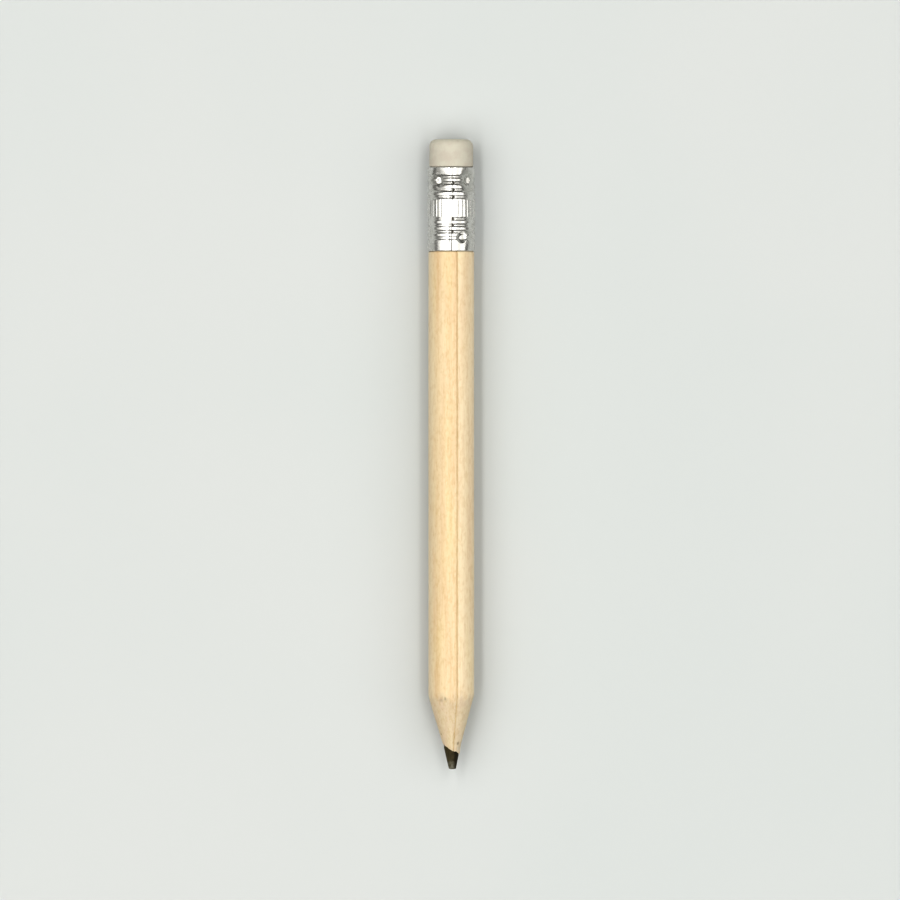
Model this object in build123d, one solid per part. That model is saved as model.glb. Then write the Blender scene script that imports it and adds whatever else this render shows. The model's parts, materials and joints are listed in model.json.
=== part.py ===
from build123d import *

import os
from math import cos, radians, sin, tan

# A short round graphite pencil with an aluminium ferrule and a plug eraser.
#
# Frame: +X runs along the pencil towards the writing tip, +Z is up, and the pencil lies on the
# plane Z = 0. The origin is the middle of its length, straight below its axis. Lengths are in
# millimetres. Everything is drawn about the X axis first and lifted to its resting height last.

# Driving dimensions
BARREL_DIAMETER = 7.2
OVERALL_LENGTH = 98.6
ERASER_SHOWN = 4.45         # eraser standing out of the ferrule
FERRULE_LENGTH = 13.1
POINT_LENGTH = 11.7         # sharpened part, from the barrel's shoulder to the tip
CORE_DIAMETER = 2.3

# Ferrule: one rolled aluminium strip, so its wall is the same all over
FERRULE_DIAMETER = 7.46     # over the rings and the fluted band
FERRULE_MOUTH_DIAMETER = 7.4    # its plain ends are drawn in: a little round the eraser,
FERRULE_END_DIAMETER = 7.3      # and down onto the wood
FERRULE_WALL = 0.25
FLUTED_PLACE = 6.3          # from the mouth to the middle of the fluted band
VALLEYS_BEFORE_BAND = (-4.78, -3.80, -2.70, -1.62)  # on both sides of the three rings, from that middle;
VALLEYS_AFTER_BAND = (1.80, 2.80, 3.80, 4.80)       # the rings nearer the eraser are set less evenly
VALLEY_MOUTH = 0.68         # width of the valley between two rings, at the crests
VALLEY_FLOOR = 0.16
RING_DEPTH = 0.17
RING_ROUNDING = 0.09
FLUTES = 32
FLUTE_ANGLE = 8.25          # one flute's place, in degrees from the top, towards +Y, as all angles here
FLUTE_TOOL_RADIUS = 0.35
FLUTE_DEPTH = 0.08
MOUTH_ROUNDING = 0.06
SEAM_GAP = 0.05
SEAM_ANGLE = 1.9
SEAM_SKEW = 1.3             # degrees, because the strip was rolled up slightly crooked

# Dimples punched by a tool with two opposite jaws, which hold the eraser and the wood
DIMPLE_TOOL_RADIUS = 1.05
DIMPLE_DEPTH = 0.38
ERASER_DIMPLE_OFFSET = -4.1    # from the fluted band's middle, along X
ERASER_DIMPLE_ANGLES = (-32, 49, 148, 229)
WOOD_DIMPLE_OFFSET = 4.7
WOOD_DIMPLE_ANGLES = (27, 207)

# Eraser
ERASER_DIAMETER = 6.9
ERASER_IN_FERRULE = 6.2
ERASER_EDGE_ROUNDING = 1.1
PLUG_TO_WOOD_GAP = 0.2

# Wood, glue and core
GLUE_PLANE_ANGLE = 15.5     # the slats' joint, from vertical
GLUE_LINE = 0.08            # film between the slats
CORE_GLUE = 0.05            # film round the core
CORE_RECESS = 0.3           # core's blind end, below the tenon's end
WOOD_CONE_SLOPE = 0.285     # radius lost per length along the sharpened wood
WOOD_CONE_LENGTH = 7.85     # where the ground point gets less steep
TIP_DIAMETER = 1.08
TIP_ROUNDING = 0.26
POINT_TILT = 0.8            # degrees, because the point is ground slightly off the barrel's axis
WEAR_FACET_TILT = 52        # degrees between +X and the worn facet's normal
WEAR_FACET_REACH = 0.31     # from the axis at the tip's end to the facet

OVERCUT = 1.0               # how far a cutting shape reaches past what it cuts

# Places along X
X_END = -OVERALL_LENGTH / 2
X_TIP = OVERALL_LENGTH / 2
X_MOUTH = X_END + ERASER_SHOWN
X_FERRULE_END = X_MOUTH + FERRULE_LENGTH
X_FERRULE_MIDDLE = X_MOUTH + FERRULE_LENGTH / 2
X_FLUTED_MIDDLE = X_MOUTH + FLUTED_PLACE
X_PLUG_END = X_MOUTH + ERASER_IN_FERRULE
X_TENON_END = X_PLUG_END + PLUG_TO_WOOD_GAP
X_SHOULDER = X_TIP - POINT_LENGTH

BARREL_R = BARREL_DIAMETER / 2
FERRULE_R = FERRULE_DIAMETER / 2
CORE_R = CORE_DIAMETER / 2
AXIS_HEIGHT = FERRULE_R     # the ferrule is the widest piece, so the pencil rests on it


def about_axis(points):
    """The solid turned by a closed outline of (x, radius) points."""
    with BuildPart() as turned:
        with BuildSketch(Plane.XY):
            with BuildLine():
                Polyline(*points, close=True)
            make_face()
        revolve(axis=Axis.X)
    return turned.part


def rod(x_from, x_to, radius):
    """A round bar along X."""
    return Plane.YZ.offset(x_from) * extrude(Circle(radius), x_to - x_from)


def outward(angle):
    """The unit vector that points away from the axis at an angle from the top."""
    return Vector(0, sin(radians(angle)), cos(radians(angle)))


def ferrule_line(depth):
    """The ferrule's formed line at a depth below its outside: a plain end, rings, the middle band and back."""
    radius = FERRULE_R - depth
    points = [(X_MOUTH, FERRULE_MOUTH_DIAMETER / 2 - depth)]
    for valley in VALLEYS_BEFORE_BAND + VALLEYS_AFTER_BAND:
        x = X_FLUTED_MIDDLE + valley
        points += [
            (x - VALLEY_MOUTH / 2, radius),
            (x - VALLEY_FLOOR / 2, radius - RING_DEPTH),
            (x + VALLEY_FLOOR / 2, radius - RING_DEPTH),
            (x + VALLEY_MOUTH / 2, radius),
        ]
    return points + [(X_FERRULE_END, FERRULE_END_DIAMETER / 2 - depth)]


def formed_bar(depth):
    """A solid bar with the ferrule's formed line as its outside, at a depth below the ferrule's own."""
    outline = ferrule_line(depth)
    with BuildPart() as bar:
        with BuildSketch(Plane.XY):
            with BuildLine():
                FilletPolyline(*outline, radius=RING_ROUNDING)
                Polyline(outline[-1], (X_FERRULE_END, 0), (X_MOUTH, 0), outline[0])
            make_face()
        revolve(axis=Axis.X)
    return bar.part


def dimple_balls(tool_radius):
    """The punch's balls at every dimple, at a tool radius."""
    rows = (
        (ERASER_DIMPLE_OFFSET, ERASER_DIMPLE_ANGLES),
        (WOOD_DIMPLE_OFFSET, WOOD_DIMPLE_ANGLES),
    )
    centre_radius = FERRULE_R - DIMPLE_DEPTH + DIMPLE_TOOL_RADIUS
    balls = []
    for offset, angles in rows:
        for angle in angles:
            place = outward(angle) * centre_radius
            place.X = X_FLUTED_MIDDLE + offset
            balls.append(Pos(place) * Sphere(tool_radius))
    return balls


def ferrule_and_inside():
    """The ferrule, and the space inside it that the eraser and the tenon fill."""
    outer_balls = dimple_balls(DIMPLE_TOOL_RADIUS)
    inner_balls = dimple_balls(DIMPLE_TOOL_RADIUS + FERRULE_WALL)
    outside = formed_bar(0)
    outside = fillet(outside.edges().filter_by(GeomType.CIRCLE).group_by(Axis.X)[0], MOUTH_ROUNDING)
    outside = fillet(outside.edges().filter_by(GeomType.CIRCLE).group_by(Axis.X)[-1], MOUTH_ROUNDING)
    inside = formed_bar(FERRULE_WALL) - inner_balls
    flute_centre = FERRULE_R + FLUTE_TOOL_RADIUS - FLUTE_DEPTH
    flute_length = VALLEYS_AFTER_BAND[0] - VALLEYS_BEFORE_BAND[-1]
    flutes = []
    for turn in range(FLUTES):
        place = outward(FLUTE_ANGLE + turn * 360 / FLUTES) * flute_centre
        place.X = X_FLUTED_MIDDLE + VALLEYS_BEFORE_BAND[-1]
        flutes.append(
            Pos(place) * Plane.YZ * extrude(Circle(FLUTE_TOOL_RADIUS), flute_length)
        )
    seam_depth = FERRULE_WALL + RING_DEPTH + DIMPLE_DEPTH
    slit = Rot(0, 0, -SEAM_SKEW) * Box(FERRULE_LENGTH + 2 * OVERCUT, SEAM_GAP, 2 * seam_depth)
    seam = Rot(-SEAM_ANGLE, 0, 0) * Pos(X_FERRULE_MIDDLE, 0, FERRULE_R) * slit
    ferrule = outside - flutes - outer_balls - inside - seam
    return ferrule, inside


def eraser_plug(inside):
    """The rubber plug: round where it shows, and squeezed to the ferrule's inside below."""
    shown = rod(X_END, X_MOUTH, ERASER_DIAMETER / 2)
    end_edge = shown.edges().filter_by(GeomType.CIRCLE).group_by(Axis.X)[0]
    shown = fillet(end_edge, ERASER_EDGE_ROUNDING)
    squeezed = inside & rod(X_MOUTH, X_PLUG_END, FERRULE_R)
    return shown + squeezed


def ground_point():
    """All that the sharpener leaves: a cone that is less steep along the lead, with a worn tip."""
    wide = FERRULE_R + OVERCUT
    x_break = X_SHOULDER + WOOD_CONE_LENGTH
    cone = about_axis([
        (X_END - OVERCUT, 0),
        (X_END - OVERCUT, wide),
        (X_SHOULDER - (wide - BARREL_R) / WOOD_CONE_SLOPE, wide),
        (x_break, BARREL_R - WOOD_CONE_LENGTH * WOOD_CONE_SLOPE),
        (X_TIP, TIP_DIAMETER / 2),
        (X_TIP, 0),
    ])
    tip_edge = cone.edges().filter_by(GeomType.CIRCLE).group_by(Axis.X)[-1]
    cone = fillet(tip_edge, TIP_ROUNDING)
    cone = Pos(X_SHOULDER, 0, 0) * Rot(0, 0, POINT_TILT) * Pos(-X_SHOULDER, 0, 0) * cone
    facet_way = Vector(cos(radians(WEAR_FACET_TILT)), 0, sin(radians(WEAR_FACET_TILT)))
    tip_centre = Vector(X_TIP, POINT_LENGTH * tan(radians(POINT_TILT)), 0)
    facet = Plane(origin=tip_centre + facet_way * WEAR_FACET_REACH, z_dir=facet_way)
    side = 2 * CORE_DIAMETER
    return cone - facet * Box(side, side, side, align=(Align.CENTER, Align.CENTER, Align.MIN))


def wooden_case(inside, point):
    """The wood's outside, with no groove or glue line yet: the tenon, the barrel and the cone."""
    tenon = inside & rod(X_TENON_END, X_FERRULE_END, FERRULE_R)
    barrel = rod(X_FERRULE_END, X_TIP, BARREL_R)
    return (tenon + barrel) & point


def glued_sheet():
    """The film of glue: a sheet between the slats that parts round the core."""
    sheet = Rot(-GLUE_PLANE_ANGLE, 0, 0) * Box(2 * OVERALL_LENGTH, GLUE_LINE, 2 * (BARREL_R + OVERCUT))
    return sheet + rod(X_TENON_END, X_TIP, CORE_R + CORE_GLUE)


def half_space(side):
    """Everything on one side of the slats' joint: +1 is towards +Y."""
    depth = 2 * BARREL_R
    block = Pos(0, side * depth / 2, 0) * Box(2 * OVERALL_LENGTH, depth, 2 * depth)
    return Rot(-GLUE_PLANE_ANGLE, 0, 0) * block


def pencil():
    """Every piece by name, about the X axis."""
    ferrule, inside = ferrule_and_inside()
    point = ground_point()
    case = wooden_case(inside, point)
    sheet = glued_sheet()
    core_bar = rod(X_TENON_END + CORE_RECESS, X_TIP + OVERCUT, CORE_R)
    core_hole = rod(X_TENON_END, X_TIP + OVERCUT, CORE_R)
    wood = case - sheet - core_hole
    return {
        "eraser": eraser_plug(inside),
        "ferrule": ferrule,
        "slat_front": wood & half_space(-1),
        "slat_back": wood & half_space(1),
        "glue_film": (case & sheet) - core_hole,
        "graphite_core": core_bar & point,
    }


os.makedirs("parts", exist_ok=True)
for name, piece in pencil().items():
    lifted = Pos(0, 0, AXIS_HEIGHT) * piece
    export_step(lifted, f"parts/{name}.step")
    print(name, len(lifted.solids()), round(lifted.volume, 2), lifted.bounding_box())
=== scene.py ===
import json
import math

import bmesh
import bpy
import numpy as np
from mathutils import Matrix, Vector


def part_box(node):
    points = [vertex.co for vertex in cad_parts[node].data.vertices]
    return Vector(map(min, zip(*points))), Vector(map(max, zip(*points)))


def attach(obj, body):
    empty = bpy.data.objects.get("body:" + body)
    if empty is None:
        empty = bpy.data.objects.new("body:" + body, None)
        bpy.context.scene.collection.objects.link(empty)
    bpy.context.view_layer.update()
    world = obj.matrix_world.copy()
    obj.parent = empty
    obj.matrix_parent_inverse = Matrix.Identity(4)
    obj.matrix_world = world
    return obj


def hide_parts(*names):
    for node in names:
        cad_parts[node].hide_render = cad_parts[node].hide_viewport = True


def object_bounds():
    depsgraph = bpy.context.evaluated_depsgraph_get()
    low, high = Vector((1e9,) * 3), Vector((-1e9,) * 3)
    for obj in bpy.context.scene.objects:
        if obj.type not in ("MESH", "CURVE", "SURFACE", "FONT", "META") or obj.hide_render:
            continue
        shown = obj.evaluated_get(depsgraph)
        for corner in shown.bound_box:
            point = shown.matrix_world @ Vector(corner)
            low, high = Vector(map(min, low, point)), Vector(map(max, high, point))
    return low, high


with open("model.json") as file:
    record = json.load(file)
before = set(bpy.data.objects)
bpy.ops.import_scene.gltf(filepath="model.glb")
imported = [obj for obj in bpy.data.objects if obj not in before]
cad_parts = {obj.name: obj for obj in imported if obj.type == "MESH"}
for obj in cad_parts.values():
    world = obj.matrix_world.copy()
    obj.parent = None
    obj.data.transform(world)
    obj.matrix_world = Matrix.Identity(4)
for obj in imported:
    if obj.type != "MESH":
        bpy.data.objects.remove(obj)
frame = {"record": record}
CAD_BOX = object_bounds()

# Lengths are in millimetres about the pencil's axis, and from the floor on they are in metres.
# Angles round the axis are in radians from the top, towards +Y.
MM = 0.001
TURN = 2 * math.pi
LUMPS_FROM = -60.0             # the random bumps' tables cover more than the pencil
LUMPS_LENGTH = 130.0


def span(node):
    """Lowest and highest corner of a CAD node, in millimetres."""
    low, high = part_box(node)
    return np.array(low) / MM, np.array(high) / MM


def mount_radius(name):
    """The radius of one of the record's mounts, in millimetres."""
    mounts = {mount["name"]: mount for mount in frame["record"]["mounts"]}
    return mounts[name]["dims"]["r_mm"]


FERRULE_BOX = span("ferrule")
X_MOUTH = FERRULE_BOX[0][0]
X_FERRULE_END = FERRULE_BOX[1][0]
FERRULE_R = (FERRULE_BOX[1][2] - FERRULE_BOX[0][2]) / 2 - 0.01
AXIS_Z = (FERRULE_BOX[1][2] + FERRULE_BOX[0][2]) / 2
X_END = span("eraser")[0][0]
X_PLUG_END = span("eraser")[1][0]
X_TENON_END = span("slat_front")[0][0]
X_CORE_END = span("graphite_core")[0][0]
X_TIP = span("graphite_core")[1][0]
CORE_R = (span("graphite_core")[1][2] - span("graphite_core")[0][2]) / 2
ERASER_R = mount_radius("eraser_plug")
BARREL_R = mount_radius("barrel")

# The ground point, the same as the CAD's
POINT_LENGTH = 11.7
CONE_SLOPE = 0.285
CONE_LENGTH = 7.85
TIP_R = 0.54
TIP_ROUNDING = 0.29
TILT = math.radians(0.8)
FACET_LEAN = math.radians(52)  # between +X and the way the worn facet faces
FACET_REACH = 0.31             # from the tip's middle to the facet
X_SHOULDER = X_TIP - POINT_LENGTH

# Wood and glue
GLUE_ANGLE = math.radians(15.5)
SLAT_GAP = 0.04                # from the glue's middle to each slat
BORE_R = CORE_R + 0.05         # the glue round the core fills the difference
X_BORE_END = X_SHOULDER + 7.6  # the glue round the core ends there too, under the feather edge

# Ferrule
WALL = 0.25
MOUTH_DRAWN_IN = 0.03          # how much less the radius is at the plain ends than over the rings
END_DRAWN_IN = 0.07
X_BAND = X_MOUTH + 6.3         # the fluted band's middle
RINGS_REACH = 5.1              # from the band's middle to where the plain ends start
BAND_FROM = -1.24              # the flutes' ends, from the band's middle
BAND_TO = 1.46
BAND_FADE = 0.11               # how far they fade on each side of those
# Valleys between the rings: place from the band's middle and share of the full depth, and after the
# band how much of it is pressed out left of the seam
VALLEYS_BEFORE = [(-1.62, 0.74), (-2.70, 0.86), (-3.80, 1.0), (-4.78, 0.85)]
VALLEYS_AFTER = [(1.80, 0.74, 0.6), (2.80, 0.80, 0.25), (3.80, 0.82, 0.12), (4.80, 0.72, 0.12)]
RING_DEPTH = 0.17
VALLEY_REACH = 0.40
FLUTES = 32
FLUTE_ANGLE = math.radians(8.25)
FLUTE_DEPTH = 0.065
FLUTE_REACH = 0.11
SEAM_AT_MOUTH = math.radians(4.2)  # the strip was rolled up slightly crooked
SEAM_AT_END = math.radians(-0.4)
SEAM_GAP = math.radians(0.35)  # at its narrowest, on each side of the seam's line
TURNED_DOWN = 0.04             # depth of the strip's ends below the rest


# Shapes ---------------------------------------------------------------------------------------

def lumps(x, angle, cell, around, seed):
    """Smooth random bumps from -1 to 1 over a cylinder: cell is their length, around how many go round."""
    x, angle = np.broadcast_arrays(np.asarray(x, float), np.asarray(angle, float))
    along = (x - LUMPS_FROM) / cell
    turn = (angle / TURN % 1.0) * around
    rows = int(LUMPS_LENGTH / cell) + 3
    table = np.random.default_rng(seed).uniform(-1, 1, (rows, around))
    i = np.floor(along).astype(int)
    j = np.floor(turn).astype(int)
    u = along - i
    v = turn - j
    u = u * u * (3 - 2 * u)
    v = v * v * (3 - 2 * v)
    j0 = j % around
    j1 = (j + 1) % around
    low = table[i, j0] * (1 - v) + table[i, j1] * v
    high = table[i + 1, j0] * (1 - v) + table[i + 1, j1] * v
    return low * (1 - u) + high * u


def away(angle, centre):
    """Signed angle from a centre, from minus half a turn to half a turn."""
    return (angle - centre + math.pi) % TURN - math.pi


def bell(distance, reach):
    """1 in the middle, and next to nothing beyond twice the reach."""
    return np.exp(-((distance / reach) ** 2))


def step(value, low, high):
    """0 below low, 1 above high, and smooth between."""
    t = np.clip((value - low) / (high - low), 0, 1)
    return t * t * (3 - 2 * t)


def around_axis(x, angle, radius):
    """Points from places on or round the pencil's axis."""
    x, angle, radius = np.broadcast_arrays(x, angle, radius)
    return np.stack([x, radius * np.sin(angle), AXIS_Z + radius * np.cos(angle)], -1)


class Skin:
    """Points and faces of one piece, gathered grid by grid."""

    def __init__(self):
        self.points = []
        self.faces = []
        self.count = 0

    def lay(self, points):
        """Adds points and returns their numbers, in the same arrangement."""
        points = np.asarray(points, float)
        numbers = np.arange(self.count, self.count + points[..., 0].size).reshape(points.shape[:-1])
        self.points.append(points.reshape(-1, 3))
        self.count += numbers.size
        return numbers

    def quads(self, numbers):
        """Faces between neighbours in a grid of point numbers."""
        corners = (numbers[:-1, :-1], numbers[1:, :-1], numbers[1:, 1:], numbers[:-1, 1:])
        self.faces += np.stack(corners, -1).reshape(-1, 4).tolist()

    def tube(self, points):
        """A grid whose rows are closed rings."""
        numbers = self.lay(points)
        self.quads(np.concatenate([numbers, numbers[:, :1]], 1))
        return numbers

    def fan(self, ring, centre):
        """Closes a ring of point numbers round one point."""
        middle = int(self.lay(np.array([centre]))[0])
        for a, b in zip(ring, np.roll(ring, -1)):
            self.faces.append([int(a), int(b), middle])

    def strip(self, first, first_at, second, second_at):
        """Joins two lines of point numbers by triangles; the places say how far along each point is."""
        i = j = 0
        while i < len(first) - 1 or j < len(second) - 1:
            next_first = i < len(first) - 1 and (
                j == len(second) - 1 or first_at[i + 1] <= second_at[j + 1]
            )
            if next_first:
                self.faces.append([int(first[i]), int(first[i + 1]), int(second[j])])
                i += 1
            else:
                self.faces.append([int(first[i]), int(second[j + 1]), int(second[j])])
                j += 1

    def piece(self, name, node_names, slot, look):
        """The finished object, in the frame."""
        mesh = bpy.data.meshes.new(name)
        mesh.from_pydata((np.concatenate(self.points) * MM).tolist(), [], self.faces)
        mesh.validate()
        work = bmesh.new()
        work.from_mesh(mesh)
        bmesh.ops.recalc_face_normals(work, faces=work.faces)
        work.to_mesh(mesh)
        work.free()
        mesh.shade_smooth()
        mesh.materials.append(look)
        made = bpy.data.objects.new(name, mesh)
        bpy.context.scene.collection.objects.link(made)
        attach(made, "root")
        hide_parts(*node_names)
        return made


# Ferrule --------------------------------------------------------------------------------------

# Dimples left by a ball punch: place from the fluted band's middle, degrees, the punch mark's reach
# round the ferrule, its reach along it and its depth, and the depth of the dent round it
DIMPLES = [
    (-4.1, -32, 0.80, 0.86, 0.30, 0.52),
    (-4.1, 49, 0.80, 0.86, 0.30, 0.52),
    (-4.1, 148, 0.80, 0.86, 0.30, 0.52),
    (-4.1, 229, 0.80, 0.86, 0.30, 0.52),
    (4.7, 27, 0.94, 0.92, 0.36, 0.08),
    (4.7, 207, 0.94, 0.92, 0.36, 0.08),
]
DENT_REACH = 1.75
DENT_SHIFT = -0.22             # a dent's middle is a little nearer the eraser than its punch mark


def valley(s, place):
    """How deep in a valley between two rings a place is, from 0 to 1."""
    inside = np.clip(np.abs(s - place) / VALLEY_REACH, 0, 1)
    return 0.5 + 0.5 * np.cos(math.pi * inside)


def formed_radius(x, angle):
    """The ferrule's outside, without flutes."""
    s = x - X_BAND
    places = [X_MOUTH, X_BAND - RINGS_REACH, X_BAND + RINGS_REACH, X_FERRULE_END]
    radius = FERRULE_R + np.interp(x, places, [-MOUTH_DRAWN_IN, 0, 0, -END_DRAWN_IN])
    unmarked = 1.0
    for place, degrees, wide, long, depth, dent in DIMPLES:
        across = away(angle, math.radians(degrees)) * FERRULE_R
        along = s - place
        punch = np.logaddexp(0, (1 - (across / wide) ** 2 - (along / long) ** 2) / 0.05) * 0.05
        radius = radius - depth * punch
        radius = radius - dent * bell(np.hypot(across, along - DENT_SHIFT), DENT_REACH)
        unmarked = unmarked * (1 - bell(np.hypot(across / wide, along / long), 0.85))
    left = step(away(angle, -0.05), -0.75, -0.15) * (1 - step(away(angle, 0.06), -0.03, 0.03))
    for ring, (place, share) in enumerate(VALLEYS_BEFORE):
        depth = share * (1 + 0.12 * lumps(x, angle, 40.0, 9, 31 + ring))
        radius = radius - RING_DEPTH * depth * unmarked * valley(s, place)
    for ring, (place, share, pressed_out) in enumerate(VALLEYS_AFTER):
        depth = share * (1 + 0.15 * lumps(x, angle, 40.0, 9, 41 + ring))
        depth = depth * (1 - pressed_out * left)
        radius = radius - RING_DEPTH * depth * unmarked * valley(s, place)
    return radius + 0.008 * lumps(x, angle, 1.7, 13, 51)


def inside_radius(x, angle):
    """The ferrule's inside."""
    return formed_radius(x, angle) - WALL


def seam_angle(x):
    """Where the strip's ends meet."""
    return np.interp(x, [X_MOUTH, X_FERRULE_END], [SEAM_AT_MOUTH, SEAM_AT_END])


def seam_opening(x):
    """Angle between the strip's ends, on the +Y side: the rings' forming pulls it open in the valleys."""
    s = x - X_BAND
    pulled = sum(valley(s, row[0]) for row in VALLEYS_BEFORE[:3] + VALLEYS_AFTER[:3])
    return SEAM_GAP + math.radians(1.1) * step(s, 4.0, 6.0) + math.radians(5.2) * pulled**1.2


def outside_radius(x, angle):
    """The ferrule's outside in full: flutes, rounded rims and the strip's turned-down ends."""
    radius = formed_radius(x, angle)
    pitch = TURN / FLUTES
    from_flute = ((angle - FLUTE_ANGLE + pitch / 2) % pitch - pitch / 2) * FERRULE_R
    s = x - X_BAND
    begun = step(s, BAND_FROM - BAND_FADE, BAND_FROM + BAND_FADE)
    band = begun * (1 - step(s, BAND_TO - BAND_FADE, BAND_TO + BAND_FADE))
    radius = radius - FLUTE_DEPTH * band * bell(from_flute, FLUTE_REACH)
    to_rim = np.minimum(x - X_MOUTH, X_FERRULE_END - x)
    radius = radius - 0.09 * (1 - np.clip(to_rim / 0.10, 0, 1)) ** 2
    right = away(angle, seam_angle(x) + seam_opening(x)) * FERRULE_R
    left = away(angle, seam_angle(x) - SEAM_GAP) * FERRULE_R
    radius = radius - TURNED_DOWN * bell(right, 0.07) * (right > -0.01)
    return radius - TURNED_DOWN * bell(left, 0.07) * (left < 0.01)


def near_both_ends(count, fine):
    """Places from 0 to 1, with extra ones close to both ends."""
    even = np.linspace(0, 1, count)
    fine = np.array(fine)
    return np.unique(np.concatenate([even, fine, 1 - fine]))


def ferrule():
    """The rolled strip. Its rows stand close at the rims and over the rings."""
    skin = Skin()
    rim = np.array([0, 0.012, 0.03, 0.06, 0.1, 0.16])
    half = np.concatenate([
        np.arange(0, 1.22, 0.16),
        np.arange(1.28, 5.30, 0.05),
        np.arange(5.36, 7.0, 0.085),
    ])
    stations = np.concatenate([-half[::-1], half[1:]]) + X_BAND
    inside = (stations > X_MOUTH + rim[-1] + 0.02) & (stations < X_FERRULE_END - rim[-1] - 0.02)
    stations = np.concatenate([X_MOUTH + rim, stations[inside], X_FERRULE_END - rim[::-1]])

    def grid(xs, around):
        """Places and angles, from one end of the strip round to its other end."""
        x = xs[:, None]
        first = seam_angle(x) + seam_opening(x)
        last = seam_angle(x) - SEAM_GAP + TURN
        return x, first + (last - first) * around[None, :]

    around = near_both_ends(385, [0.0004, 0.001, 0.0018])
    x, angle = grid(stations, around)
    outer = skin.lay(around_axis(x, angle, outside_radius(x, angle)))
    skin.quads(outer)
    coarse_xs = np.linspace(X_MOUTH, X_FERRULE_END, 90)
    coarse_around = near_both_ends(110, [0.003])
    cx, cangle = grid(coarse_xs, coarse_around)
    inner = skin.lay(around_axis(cx, cangle, inside_radius(cx, cangle)))
    skin.quads(inner)
    skin.strip(outer[:, 0], stations, inner[:, 0], coarse_xs)
    skin.strip(outer[:, -1], stations, inner[:, -1], coarse_xs)
    skin.strip(outer[0], around, inner[0], coarse_around)
    skin.strip(outer[-1], around, inner[-1], coarse_around)
    return skin


# Eraser ---------------------------------------------------------------------------------------

FIT = 0.02                     # gap between the ferrule's inside and what it holds
X_FACE = X_END + 0.04          # the end face's rim
NECK_DEPTH = 0.27              # how far the ferrule's rim presses the rubber in


def eraser():
    """The plug in the ferrule, the neck that the rim presses in, the shown part and its end face."""
    skin = Skin()
    angle = np.linspace(0, TURN, 256, endpoint=False)[None, :]
    plug = np.linspace(X_PLUG_END, X_MOUTH + 0.34, 58)[:, None]
    plug_r = inside_radius(plug, angle) - FIT
    neck = X_MOUTH + np.array([0.30, 0.18, 0.08, 0.0, -0.06])
    shown = np.concatenate([neck, np.linspace(X_MOUTH - 0.12, X_END + 1.32, 58)])[:, None]
    rounding = 1.12 + 0.12 * lumps(0.0, angle, 5.0, 5, 61)

    def worn(x, r):
        """The used rubber's slight unevenness."""
        return r - 0.03 + 0.022 * lumps(x, angle, 1.6, 11, 62) + 0.007 * lumps(x, angle, 0.4, 46, 63)

    press = NECK_DEPTH * step(shown, X_MOUTH - 0.24, X_MOUTH + 0.06)
    shown_r = worn(shown, ERASER_R - press)
    bend = np.linspace(0.04, 1, 22)[:, None] * math.pi / 2
    bend_x = X_FACE + rounding * (1 - np.sin(bend))
    bend_r = worn(bend_x, ERASER_R - rounding * (1 - np.cos(bend)))
    edge = bend_r[-1:]
    share = np.linspace(0.96, 0.04, 34)[:, None]
    face_r = edge * share
    face_x = X_FACE + 0.03 * (1 + lumps(face_r * 3, angle, 2.2, 7, 64)) * (1 - share**4)
    start_r = np.linspace(0.1, 0.95, 8)[:, None] * plug_r[:1]
    start_x = np.full_like(start_r, X_PLUG_END)
    x = np.concatenate([start_x, plug + 0 * angle, shown + 0 * angle, bend_x, face_x])
    r = np.concatenate([start_r, plug_r, shown_r, bend_r, face_r])
    rings = skin.tube(around_axis(x, angle, r))
    skin.fan(rings[0], (X_PLUG_END, 0, AXIS_Z))
    skin.fan(rings[-1], (X_FACE + 0.04, 0, AXIS_Z))
    return skin


# Wood -----------------------------------------------------------------------------------------

def cone_radius(along):
    """The ground point about its own axis, from the shoulder on: it is less steep along the lead."""
    steep = BARREL_R - CONE_SLOPE * along
    at_break = BARREL_R - CONE_SLOPE * CONE_LENGTH
    share = (along - CONE_LENGTH) / (POINT_LENGTH - CONE_LENGTH)
    return np.where(along < CONE_LENGTH, steep, at_break + share * (TIP_R - at_break))


def ground_radius(x, angle):
    """The ground point's distance from the barrel's axis: its own axis is tilted towards +Y."""
    x, angle = np.broadcast_arrays(x, angle)
    radius = np.full(x.shape, BARREL_R)
    for _ in range(8):
        along = (x - X_SHOULDER) * math.cos(TILT) + radius * np.sin(angle) * math.sin(TILT)
        side = radius * np.sin(angle) * math.cos(TILT) - (x - X_SHOULDER) * math.sin(TILT)
        radius = radius + cone_radius(along) - np.hypot(side, radius * np.cos(angle))
    return radius


# Where the wood reaches further over the lead, or less far: degrees, reach round in radians, and length
FLAKES = [(78, 0.42, 0.12), (-86, 0.50, -0.46), (8, 0.45, 0.20)]


def wood_end(angle):
    """Where the wood ends in a ragged feather edge on the lead."""
    low = np.full(np.shape(angle), X_SHOULDER + 5.0)
    high = np.full(np.shape(angle), X_SHOULDER + 11.0)
    for _ in range(30):
        middle = (low + high) / 2
        wide = ground_radius(middle, angle) > BORE_R
        low = np.where(wide, middle, low)
        high = np.where(wide, high, middle)
    ragged = 0.10 * lumps(0.0, angle, 9.0, 14, 71) + 0.05 * lumps(0.0, angle, 9.0, 47, 72)
    end = low - 0.02 + ragged
    for degrees, reach, length in FLAKES:
        end = end + length * bell(away(angle, math.radians(degrees)), reach)
    return end


def on_cone(along, degrees):
    """A point on the ground wood, from its distance from the shoulder."""
    angle = math.radians(degrees)
    radius = float(ground_radius(X_SHOULDER + along, angle))
    return X_SHOULDER + along, radius * math.sin(angle), radius * math.cos(angle)


X_CONE_ROWS = X_SHOULDER - 0.6  # from here on, the rows of points bend to follow the feather edge

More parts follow.
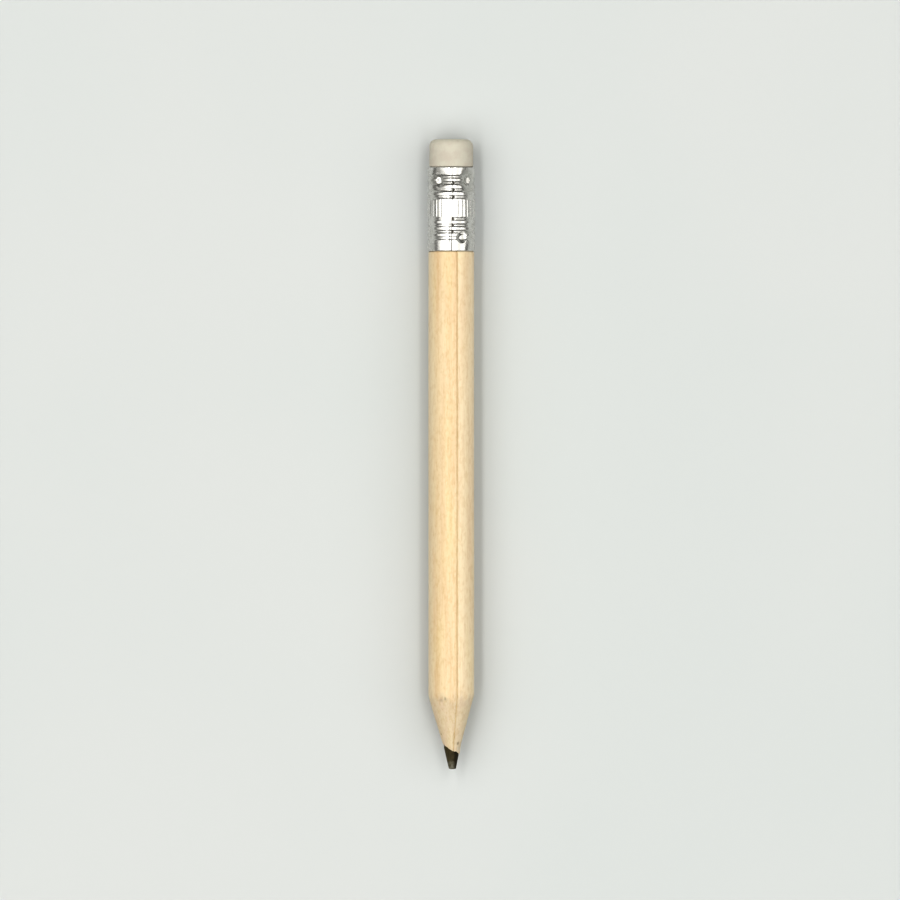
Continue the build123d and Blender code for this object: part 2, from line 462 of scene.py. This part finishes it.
# Pits in the ground wood: distance from the shoulder, degrees, length, width, darkness
PITS = [
    (0.62, -16, 0.28, 0.16, 0.40),
    (0.90, -28, 0.26, 0.30, 0.22),
    (6.20, -64, 0.14, 0.12, 0.75),
    (7.62, 44, 0.26, 0.21, 0.62),
    (3.4, 104, 0.22, 0.14, 0.4),
    (1.6, 196, 0.24, 0.18, 0.35),
]


def case_radius(x, angle):
    """The wooden case's outside, from the ferrule's end to the feather edge."""
    barrel = BARREL_R - 0.015 + 0.010 * lumps(x, angle, 11.0, 7, 73)
    barrel = barrel + 0.004 * lumps(x, angle, 5.0, 150, 74) + 0.003 * lumps(x, angle, 1.3, 210, 75)
    to_ferrule = x - X_FERRULE_END
    barrel = barrel - 0.07 * (1 - np.clip((to_ferrule - 0.08) / 0.20, 0, 1)) ** 2
    cone = ground_radius(x, angle) + 0.022
    torn = 0.014 * lumps(x, angle, 1.1, 40, 76) + 0.010 * lumps(x, angle, 0.28, 56, 77)
    facets = 0.022 * lumps(x, angle, 5.0, 9, 78)
    fade = step(x, X_SHOULDER + 9.3, X_SHOULDER + 8.2)
    cone = cone + (torn + facets) * (0.25 + 0.75 * fade)
    for place, degrees, length, width, _ in PITS:
        across = away(angle, math.radians(degrees)) * cone
        cone = cone - 0.05 * bell(np.hypot((x - X_SHOULDER - place) / length, across / width), 1.0)
    flake = bell(away(angle, math.radians(80)), 0.30) * bell(x - (X_SHOULDER + 9.1), 0.85)
    cone = cone + 0.10 * flake
    softness = 0.045
    return -softness * np.logaddexp(-barrel / softness, -cone / softness)


def slat(side):
    """One half of the wooden case; side +1 is towards +Y."""
    skin = Skin()
    start = GLUE_ANGLE if side > 0 else GLUE_ANGLE - math.pi
    tenon = np.linspace(X_TENON_END, X_FERRULE_END - 0.02, 48)
    collar = X_FERRULE_END + np.array([0.08, 0.10, 0.14, 0.20, 0.28])
    barrel = np.linspace(X_FERRULE_END + 0.45, X_CONE_ROWS - 0.3, 222)
    rows = np.concatenate([tenon, collar, barrel])
    cone_rows = near_both_ends(94, [0.003])
    share = near_both_ends(187, [0.0007, 0.0020, 0.0040, 0.0070, 0.0110])

    def spread(radius, share):
        """Angles across the slat, from glue face to glue face."""
        edge = np.arcsin(SLAT_GAP / radius)
        return start + edge + (math.pi - 2 * edge) * share

    angle = spread(np.full((len(rows), 1), BARREL_R), share[None, :])
    x = rows[:, None] + 0 * angle
    held = x < X_FERRULE_END
    radius = np.where(held, inside_radius(x, angle) - FIT, case_radius(x, angle))
    nominal = np.maximum(ground_radius(X_SHOULDER + cone_rows * 9.0, 0 * cone_rows), BORE_R)
    nominal = np.minimum(nominal, BARREL_R)[:, None]
    cone_angle = spread(nominal, share[None, :])
    end = wood_end(cone_angle)
    cone_x = X_CONE_ROWS + (end - X_CONE_ROWS) * cone_rows[:, None]
    cone_r = case_radius(cone_x, cone_angle)
    angle = np.concatenate([angle, cone_angle])
    x = np.concatenate([x, cone_x])
    radius = np.concatenate([radius, cone_r])
    from_edge = np.minimum(share, 1 - share)[None, :] * math.pi * radius
    groove = 0.024 + 0.022 * lumps(x, 0.3 + side, 1.9, 8, 79) + 0.02 * lumps(x, 0.3, 7.0, 8, 80)
    radius = radius - groove * bell(from_edge, 0.075)
    outer = skin.lay(around_axis(x, angle, radius))
    skin.quads(outer)
    lip = skin.lay(around_axis(x[-1], angle[-1], np.minimum(BORE_R, radius[-1] - 0.012)))
    skin.quads(np.stack([outer[-1], lip]))
    coarse = np.linspace(0, 1, 16)
    inner_x = np.append(np.linspace(X_TENON_END, X_SHOULDER + 6.5, 40), X_BORE_END)
    inner_angle = spread(np.full((len(inner_x), 1), BORE_R), coarse[None, :])
    inner = skin.lay(around_axis(inner_x[:, None], inner_angle, BORE_R))
    skin.quads(inner)
    skin.strip(lip, share, inner[-1], coarse)
    skin.strip(outer[0], share, inner[0], coarse)
    for column in (0, -1):
        line = np.append(outer[:, column], lip[column])
        places = np.append(x[:, column], x[-1, column] + 0.001)
        skin.strip(line, places, inner[:, column], inner_x)
    return skin


def glue_film():
    """Dried glue: two thin fins between the slats, and a sleeve round the core."""
    skin = Skin()
    for turn in (0, math.pi):
        angle = GLUE_ANGLE + turn
        rows = np.concatenate([
            np.linspace(X_TENON_END, X_FERRULE_END - 0.1, 40),
            np.linspace(X_FERRULE_END + 0.1, X_SHOULDER, 150),
            np.linspace(X_SHOULDER + 0.1, float(wood_end(angle)) - 0.05, 60),
        ])[:, None]
        radius = np.where(
            rows < X_FERRULE_END, inside_radius(rows, angle) - 0.06, case_radius(rows, angle) - 0.045
        )
        radius = np.maximum(radius + 0.012 * lumps(rows, 0.0, 1.1, 5, 81), BORE_R + 0.02)
        low = BORE_R - 0.02
        half = SLAT_GAP * 0.8
        side = np.array([[-half, -half, half, half]])
        height = np.concatenate([low + 0 * radius, radius, radius, low + 0 * radius], 1)
        turned = angle + side / height
        rings = skin.tube(around_axis(rows + 0 * turned, turned, height))
        for ring in (rings[0], rings[-1]):
            skin.faces.append(ring.tolist())
    angle = np.linspace(0, TURN, 48, endpoint=False)[None, :]
    ends = np.array([X_TENON_END + 0.05, X_BORE_END, X_BORE_END, X_TENON_END + 0.05])
    walls = np.array([BORE_R - 0.012, BORE_R - 0.012, CORE_R + 0.012, CORE_R + 0.012])
    sleeve = skin.lay(around_axis(ends[:, None], angle, walls[:, None]))
    closed = np.concatenate([sleeve, sleeve[:1]])
    skin.quads(np.concatenate([closed, closed[:, :1]], 1))
    return skin


# Graphite -------------------------------------------------------------------------------------

def core():
    """The lead: its hidden cylinder, then the point about its own tilted axis, with a worn facet."""
    skin = Skin()
    angle = np.linspace(0, TURN, 176, endpoint=False)[None, :]
    hidden = np.append(np.linspace(X_CORE_END, X_SHOULDER + 6.2, 36), X_SHOULDER + 7.0)[:, None]
    x = hidden + 0 * angle
    r = np.full_like(x, CORE_R - 0.005)
    bend_length = TIP_ROUNDING * 0.75
    along = np.linspace(7.6, POINT_LENGTH - bend_length, 96)[:, None]
    own = cone_radius(along)
    own = own + 0.011 * lumps(along * 4, angle, 0.6, 6, 91) + 0.010 * lumps(along, angle, 0.8, 11, 92)
    own = own + 0.005 * lumps(along, angle, 0.16, 38, 93)
    bend = np.linspace(0, 1, 12)[1:, None] * math.pi / 2
    flat_r = own[-1:] - TIP_ROUNDING
    bend_along = along[-1] + bend_length * np.sin(bend)
    bend_r = flat_r + TIP_ROUNDING * np.cos(bend)
    share = np.linspace(0.93, 0.08, 14)[:, None]
    tip_along = np.full_like(share, POINT_LENGTH)
    tip_r = flat_r * share
    along = np.concatenate([along, bend_along, tip_along]) + 0 * angle
    own = np.concatenate([own, bend_r + 0 * angle, tip_r])
    side = own * np.sin(angle)
    up = own * np.cos(angle)
    reach = (along - POINT_LENGTH) * math.cos(FACET_LEAN) + up * math.sin(FACET_LEAN)
    beyond = np.maximum(reach - FACET_REACH, 0)
    dents = 0.015 * (1 + lumps(side * 8, up, 1.0, 4, 94)) * (along > POINT_LENGTH - 0.2)
    along = along - beyond * math.cos(FACET_LEAN) - dents
    up = up - beyond * math.sin(FACET_LEAN)
    px = X_SHOULDER + along * math.cos(TILT) - side * math.sin(TILT)
    py = along * math.sin(TILT) + side * math.cos(TILT)
    radius = np.hypot(py, up)
    shrink = np.minimum(1, (CORE_R - 0.005) / np.maximum(radius, 1e-6))
    point = np.stack([px, py * shrink, AXIS_Z + up * shrink], -1)
    blind_r = np.linspace(0.2, 0.9, 4)[:, None] * (CORE_R - 0.005)
    blind = around_axis(X_CORE_END, angle, blind_r)
    rings = skin.tube(np.concatenate([blind, around_axis(x, angle, r), point]))
    skin.fan(rings[0], (X_CORE_END, 0, AXIS_Z))
    skin.fan(rings[-1], point[-1].mean(0))
    return skin


# Looks ----------------------------------------------------------------------------------------

def shade(red, green, blue):
    """A colour given as 0 to 255 screen values, as the shader's linear numbers."""
    values = np.array([red, green, blue]) / 255
    linear = np.where(values > 0.04045, ((values + 0.055) / 1.055) ** 2.4, values / 12.92)
    return (*linear.tolist(), 1.0)


class Look:
    """A material built from nodes, in millimetres about the pencil's axis."""

    def __init__(self, name):
        self.material = bpy.data.materials.new(name)
        self.material.use_nodes = True
        self.tree = self.material.node_tree
        self.surface = self.tree.nodes["Principled BSDF"]
        place = self.tree.nodes.new("ShaderNodeTexCoord").outputs["Object"]
        self.mm = self.vector("SUBTRACT", self.vector("MULTIPLY", place, (1000,) * 3), (0, 0, AXIS_Z))
        self.x, self.y, self.z = self.split(self.mm)

    def plug(self, socket, value):
        if isinstance(value, bpy.types.NodeSocket):
            self.tree.links.new(value, socket)
        else:
            socket.default_value = value

    def vector(self, operation, first, second):
        node = self.tree.nodes.new("ShaderNodeVectorMath")
        node.operation = operation
        self.plug(node.inputs[0], first)
        self.plug(node.inputs[1], second)
        return node.outputs[0]

    def split(self, vector):
        node = self.tree.nodes.new("ShaderNodeSeparateXYZ")
        self.plug(node.inputs[0], vector)
        return node.outputs

    def math(self, operation, first, second=0.0):
        node = self.tree.nodes.new("ShaderNodeMath")
        node.operation = operation
        self.plug(node.inputs[0], first)
        self.plug(node.inputs[1], second)
        return node.outputs[0]

    def noise(self, stretch, detail=2.0, roughness=0.5, shift=0.0):
        """Noise from 0 to 1; stretch is how many lumps there are per millimetre along X, Y and Z."""
        node = self.tree.nodes.new("ShaderNodeTexNoise")
        scaled = self.vector("MULTIPLY", self.mm, stretch)
        self.plug(node.inputs["Vector"], self.vector("ADD", scaled, (shift, shift * 0.7, -shift)))
        node.inputs["Scale"].default_value = 1.0
        node.inputs["Detail"].default_value = detail
        node.inputs["Roughness"].default_value = roughness
        return node.outputs[0]

    def ramp(self, value, low, high, start=0.0, end=1.0):
        """Smooth from start, at low, to end, at high."""
        node = self.tree.nodes.new("ShaderNodeMapRange")
        node.interpolation_type = "SMOOTHSTEP"
        for socket, number in zip(node.inputs, (value, low, high, start, end)):
            self.plug(socket, number)
        return node.outputs[0]

    def spot(self, centre, size):
        """1 at a point and 0 outside an ellipsoid round it, both in millimetres about the axis."""
        node = self.tree.nodes.new("ShaderNodeVectorMath")
        node.operation = "LENGTH"
        offset = self.vector("SUBTRACT", self.mm, centre)
        self.plug(node.inputs[0], self.vector("DIVIDE", offset, size))
        return self.ramp(node.outputs["Value"], 1.0, 0.25)

    def mix(self, share, first, second, blend="MIX"):
        node = self.tree.nodes.new("ShaderNodeMix")
        node.data_type = "RGBA"
        node.blend_type = blend
        self.plug(node.inputs[0], share)
        self.plug(node.inputs[6], first)
        self.plug(node.inputs[7], second)
        return node.outputs[2]

    def bump(self, height, distance, normal=None):
        """Raises the surface by distance in millimetres where height is 1."""
        node = self.tree.nodes.new("ShaderNodeBump")
        node.inputs["Strength"].default_value = 1.0
        node.inputs["Distance"].default_value = distance * MM
        self.plug(node.inputs["Height"], height)
        if normal is not None:
            self.plug(node.inputs["Normal"], normal)
        return node.outputs[0]

    def finish(self, **sockets):
        for name, value in sockets.items():
            self.plug(self.surface.inputs[name.replace("_", " ")], value)
        return self.material


def wood_look(name, shift, fair):
    """Pale bare wood: soft bands, short fibres and pores along X, and a rougher, paler ground cone.
    The shift moves the noises, and fair is the share of a paler wood."""
    look = Look(name)
    cream = shade(215, 197, 165)
    honey = shade(208, 184, 149)
    straw = shade(215, 198, 158)
    pale = shade(197, 186, 163)
    bands = look.noise((0.035, 0.9, 0.9), 3.0, 0.55, shift)
    colour = look.mix(look.ramp(bands, 0.35, 0.68), cream, honey)
    drift = look.noise((0.05, 0.35, 0.35), 2.0, 0.5, shift + 7)
    colour = look.mix(look.ramp(drift, 0.45, 0.75, 0, 0.7), colour, straw)
    wander = look.ramp(look.noise((0.12, 0.5, 0.5), 2.0, 0.5, shift + 3), 0, 1, -0.5, 0.5)
    side = look.math("ADD", look.y, wander)
    colour = look.mix(look.ramp(side, -2.2, -3.0, 0, 0.6), colour, shade(212, 199, 172))
    colour = look.mix(fair, colour, shade(233, 224, 204))
    uneven = look.ramp(look.noise((0.5, 0.9, 0.9), 2.0, 0.5, shift + 41), 0.3, 0.7, -0.6, 0.6)
    cone = look.ramp(look.math("ADD", look.x, uneven), X_SHOULDER - 0.5, X_SHOULDER + 1.4)
    colour = look.mix(look.math("MULTIPLY", cone, 0.62), colour, pale)
    pink = look.noise((0.35, 0.8, 0.8), 2.0, 0.5, shift + 5)
    pink_share = look.math("MULTIPLY", cone, look.ramp(pink, 0.45, 0.7, 0, 0.40))
    colour = look.mix(pink_share, colour, shade(202, 181, 161))
    mottle = look.noise((1.0, 2.0, 2.0), 2.0, 0.6, shift + 11)
    colour = look.mix(look.ramp(mottle, 0.40, 0.74, 0, 0.36), colour, shade(231, 216, 190), "MULTIPLY")
    fibres = look.noise((0.35, 9.0, 9.0), 2.0, 0.6, shift + 17)
    colour = look.mix(look.ramp(fibres, 0.48, 0.80, 0, 0.42), colour, shade(226, 209, 180), "MULTIPLY")
    pores = look.noise((0.8, 6.5, 6.5), 1.0, 0.5, shift + 23)
    colour = look.mix(look.ramp(pores, 0.72, 0.84, 0, 0.38), colour, shade(208, 188, 156), "MULTIPLY")
    across = look.math(
        "SUBTRACT",
        look.math("MULTIPLY", look.y, math.cos(GLUE_ANGLE)),
        look.math("MULTIPLY", look.z, math.sin(GLUE_ANGLE)),
    )
    near = look.ramp(look.math("ABSOLUTE", across), 0.22, 0.05)
    soaked = look.noise((0.55, 0.3, 0.3), 3.0, 0.6, shift + 29)
    seam = look.math("MULTIPLY", near, look.ramp(soaked, 0.35, 0.75, 0.25, 0.85))
    colour = look.mix(seam, colour, shade(221, 212, 192), "MULTIPLY")
    gaps = look.ramp(look.noise((1.3, 0.3, 0.3), 2.0, 0.6, shift + 31), 0.56, 0.72)
    gaps = look.math("MULTIPLY", gaps, look.ramp(look.math("ABSOLUTE", across), 0.12, 0.03))
    colour = look.mix(look.math("MULTIPLY", gaps, 0.6), colour, shade(186, 172, 146), "MULTIPLY")
    torn = look.spot(on_cone(8.45, 58), (0.75, 0.62, 0.62))
    colour = look.mix(look.math("MULTIPLY", torn, 0.62), colour, shade(186, 178, 162))
    smear = look.spot(on_cone(7.86, -90), (0.50, 0.55, 0.55))
    colour = look.mix(look.math("MULTIPLY", smear, 0.9), colour, shade(84, 74, 52))
    for place, degrees, length, width, darkness in PITS:
        pit = look.spot(on_cone(place, degrees), (length * 1.6, width * 1.6, width * 1.6))
        colour = look.mix(look.math("MULTIPLY", pit, darkness), colour, shade(118, 104, 80))
    # Painted shade: the wood is darkened in a band just beyond the ferrule's end, where the ferrule's rim
    # shades it
    painted_shade_below_ferrule = look.ramp(look.x, X_FERRULE_END + 0.04, X_FERRULE_END + 0.24, 0.45, 0)
    colour = look.mix(painted_shade_below_ferrule, colour, shade(128, 116, 98))
    # Painted shade: the wood inside the ferrule, and a sliver just beyond its end, is painted dark
    hidden = look.ramp(look.x, X_FERRULE_END - 0.04, X_FERRULE_END + 0.06, 0.92, 0)
    colour = look.mix(hidden, colour, shade(74, 68, 60))
    relief = look.bump(fibres, 0.010)
    relief = look.bump(look.noise((3.2, 5.0, 5.0), 2.0, 0.6, shift + 37), 0.006, relief)
    gloss = look.ramp(cone, 0, 1, 0.36, 0.70)
    return look.finish(Base_Color=colour, Roughness=gloss, Specular_IOR_Level=0.5, Normal=relief)


def glue_look():
    look = Look("dried_glue")
    tone = look.noise((0.8, 3.0, 3.0), 2.0, 0.5, 3.0)
    colour = look.mix(look.ramp(tone, 0.3, 0.7), shade(211, 187, 143), shade(193, 166, 124))
    return look.finish(Base_Color=colour, Roughness=look.ramp(tone, 0.3, 0.7, 0.35, 0.6))


def graphite_look():
    """Dark brown-grey lead, burnished along the cone and scratched round it."""
    look = Look("graphite")
    blotch = look.noise((1.8, 1.8, 1.8), 3.0, 0.6, 5.0)
    colour = look.mix(look.ramp(blotch, 0.3, 0.7), shade(80, 72, 50), shade(60, 53, 36))
    colour = look.mix(look.ramp(look.x, X_TIP - 1.9, X_TIP - 3.2, 0, 0.5), colour, shade(62, 53, 27))
    uneven = look.ramp(look.noise((1.6, 2.2, 2.2), 3.0, 0.6, 33.0), 0.3, 0.7, -0.55, 0.55)
    worn = look.ramp(look.math("ADD", look.x, uneven), X_TIP - 1.5, X_TIP + 0.35)
    colour = look.mix(look.math("MULTIPLY", worn, 0.85), colour, shade(126, 125, 113))
    # Painted shade: the lead's +Y side is painted darker
    colour = look.mix(look.ramp(look.y, 0.25, 0.60, 0, 0.75), colour, shade(28, 24, 14))
    scratches = look.noise((14.0, 1.2, 1.2), 3.0, 0.65, 9.0)
    relief = look.bump(scratches, 0.010)
    relief = look.bump(look.noise((5.0, 5.0, 5.0), 3.0, 0.6, 2.0), 0.012, relief)
    rough = look.ramp(scratches, 0.3, 0.7, 0.36, 0.55)
    return look.finish(Base_Color=colour, Roughness=rough, Specular_IOR_Level=0.12, Normal=relief)


def aluminium_look():
    """Bright rolled aluminium: faint lines round it, soft smudges, and grime and painted shade in the low
    places.
    """
    look = Look("aluminium_sheet")
    smudge = look.noise((0.8, 0.8, 0.8), 3.0, 0.6, 4.0)
    colour = look.mix(look.ramp(smudge, 0.35, 0.7), shade(216, 215, 212), shade(205, 204, 200))
    y_squared = look.math("MULTIPLY", look.y, look.y)
    z_squared = look.math("MULTIPLY", look.z, look.z)
    radius = look.math("SQRT", look.math("ADD", y_squared, z_squared))
    # Grime and painted shade: the low places, valleys and dents, are painted darker
    low = look.ramp(radius, FERRULE_R - 0.05, FERRULE_R - 0.32, 0, 0.30)
    patches = look.ramp(look.noise((2.5, 2.5, 2.5), 2.0, 0.6, 8.0), 0.35, 0.65, 0.5, 1.0)
    grime_and_painted_shade = look.math("MULTIPLY", low, patches)
    colour = look.mix(grime_and_painted_shade, colour, shade(150, 148, 138))
    lines = look.noise((24.0, 0.9, 0.9), 2.0, 0.6, 6.0)
    relief = look.bump(lines, 0.0012)
    relief = look.bump(look.noise((1.6, 1.6, 1.6), 2.0, 0.5, 12.0), 0.012, relief)
    rough = look.ramp(smudge, 0.3, 0.75, 0.20, 0.34)
    return look.finish(Base_Color=colour, Metallic=1.0, Roughness=rough, Normal=relief)


def rubber_look():
    """Off-white rubber: painted light in patches near its rounded end, painted shade at the neck that the
    ferrule's rim presses in and inside the ferrule, and a fine matte grain.
    """
    look = Look("eraser_rubber")
    blotch = look.noise((0.7, 0.7, 0.7), 3.0, 0.6, 2.0)
    colour = look.mix(look.ramp(blotch, 0.35, 0.7), shade(192, 188, 175), shade(187, 180, 168))
    # Painted light: patches near the rounded end are painted lighter, standing in for the light that the
    # rounded edge catches
    worn = look.ramp(look.x, X_END + 1.0, X_END + 0.15, 0, 1)
    patches = look.ramp(look.noise((1.8, 1.8, 1.8), 3.0, 0.6, 14.0), 0.3, 0.6, 0.35, 0.8)
    painted_light_on_end = look.math("MULTIPLY", worn, patches)
    colour = look.mix(painted_light_on_end, colour, shade(200, 196, 181))
    # Painted shade: the rubber is darkened where the ferrule's rim presses it in
    neck = look.ramp(look.x, X_MOUTH - 0.16, X_MOUTH + 0.04, 0, 0.6)
    colour = look.mix(neck, colour, shade(140, 136, 124))
    # Painted shade: the plug inside the ferrule is painted dark
    colour = look.mix(look.ramp(look.x, X_MOUTH + 0.1, X_MOUTH + 0.6, 0, 0.9), colour, shade(70, 68, 60))
    specks = look.noise((4.5, 4.5, 4.5), 1.0, 0.5, 19.0)
    colour = look.mix(look.ramp(specks, 0.72, 0.80, 0, 0.35), colour, shade(192, 180, 163))
    relief = look.bump(look.noise((6.0, 6.0, 6.0), 3.0, 0.65, 21.0), 0.022)
    relief = look.bump(look.noise((1.6, 1.6, 1.6), 2.0, 0.5, 23.0), 0.030, relief)
    rough = look.ramp(blotch, 0.3, 0.7, 0.78, 0.92)
    return look.finish(Base_Color=colour, Roughness=rough, Normal=relief)


ferrule().piece("ferrule_shell", ["ferrule"], "aluminium", aluminium_look())
eraser().piece("eraser_plug", ["eraser"], "eraser_rubber", rubber_look())
slat(-1).piece("slat_front_wood", ["slat_front"], "wood", wood_look("wood_front", 0.0, 0.0))
slat(1).piece("slat_back_wood", ["slat_back"], "wood", wood_look("wood_back", 40.0, 0.3))
glue_film().piece("glue_line", ["glue_film"], "glue", glue_look())
core().piece("lead", ["graphite_core"], "graphite", graphite_look())


# Floor, light and camera ----------------------------------------------------------------------

VIEW_GAMMA = 0.74              # under 1 deepens the tones
scene = bpy.context.scene
scene.view_settings.view_transform = "Standard"
scene.view_settings.gamma = VIEW_GAMMA
low, high = CAD_BOX
middle = (low + high) / 2


def floor_look():
    look = Look("floor_paper")
    tone = look.noise((0.012, 0.012, 0.012), 3.0, 0.5, 3.0)
    colour = look.mix(look.ramp(tone, 0.35, 0.65), shade(195, 197, 196), shade(193, 196, 195))
    return look.finish(Base_Color=colour, Roughness=0.9, Specular_IOR_Level=0.1)


HALF_FLOOR = 9.0
floor_mesh = bpy.data.meshes.new("floor")
corners = [(-1, -1), (1, -1), (1, 1), (-1, 1)]
floor_mesh.from_pydata([(x * HALF_FLOOR, y * HALF_FLOOR, low.z) for x, y in corners], [], [(0, 1, 2, 3)])
floor_mesh.materials.append(floor_look())
floor = bpy.data.objects.new("floor", floor_mesh)
scene.collection.objects.link(floor)

LAMP_TINT = (1.0, 0.995, 0.98)
LAMP_HEIGHT = 2.2


def lamp(name, across, along, radiance, spread=180):
    """A panel facing down. It fills a pair of angles across the pencil and a pair along it, in degrees
    off the zenith as the pencil's middle sees them, and its light fans out by the spread."""
    first_y, last_y = LAMP_HEIGHT * np.tan(np.radians(across))
    first_x, last_x = LAMP_HEIGHT * np.tan(np.radians(along))
    data = bpy.data.lights.new(name, "AREA")
    data.shape = "RECTANGLE"
    data.size = last_x - first_x
    data.size_y = last_y - first_y
    data.spread = math.radians(spread)
    data.energy = radiance * math.pi * data.size * data.size_y
    data.color = LAMP_TINT
    made = bpy.data.objects.new(name, data)
    made.location = (middle.x + (first_x + last_x) / 2, middle.y + (first_y + last_y) / 2, LAMP_HEIGHT)
    scene.collection.objects.link(made)


# Panels from front to back: degrees across, how far each reaches both ways along, and radiance
PANELS = [
    (-70, -50, 45, 1.25),
    (-50, -30, 45, 2.15),
    (-30, -21.5, 45, 1.60),
    (-21.5, -14, 40, 6.60),
    (-14, 5, 25, 0.65),
    (5, 14, 25, 3.10),
    (14, 21.5, 40, 4.80),
    (21.5, 50, 45, 1.22),
    (50, 70, 45, 1.95),
]
for number, (first, last, reach, radiance) in enumerate(PANELS):
    lamp(f"panel_{number}", (first, last), (-reach, reach), radiance)
# Two more light the floor far beyond the pencil's ends, and their narrow spread misses the pencil
WASH_SPREAD = 80
lamp("wash_tip", (-60, 60), (46, 72), 0.55, WASH_SPREAD)
lamp("wash_eraser", (-60, 60), (-72, -46), 0.55, WASH_SPREAD)

world = bpy.data.worlds.new("studio")
scene.world = world
world.use_nodes = True
background = world.node_tree.nodes["Background"]
background.inputs["Color"].default_value = (0.99, 0.985, 0.93, 1.0)
background.inputs["Strength"].default_value = 0.19

LENS = 500.0
SENSOR = 36.0
FIELD = 0.14085                # width seen at the height of the pencil's axis
AIM_X = -0.00065               # from the box's middle to the place the camera looks down on
AIM_Y = -0.00020
camera_data = bpy.data.cameras.new("camera")
camera_data.lens = LENS
camera_data.sensor_width = SENSOR
camera_data.clip_end = 20.0
camera = bpy.data.objects.new("camera", camera_data)
camera.location = (middle.x + AIM_X, middle.y + AIM_Y, AXIS_Z * MM + FIELD * LENS / SENSOR)
camera.rotation_euler = (0, 0, math.radians(90))
scene.collection.objects.link(camera)
scene.camera = camera
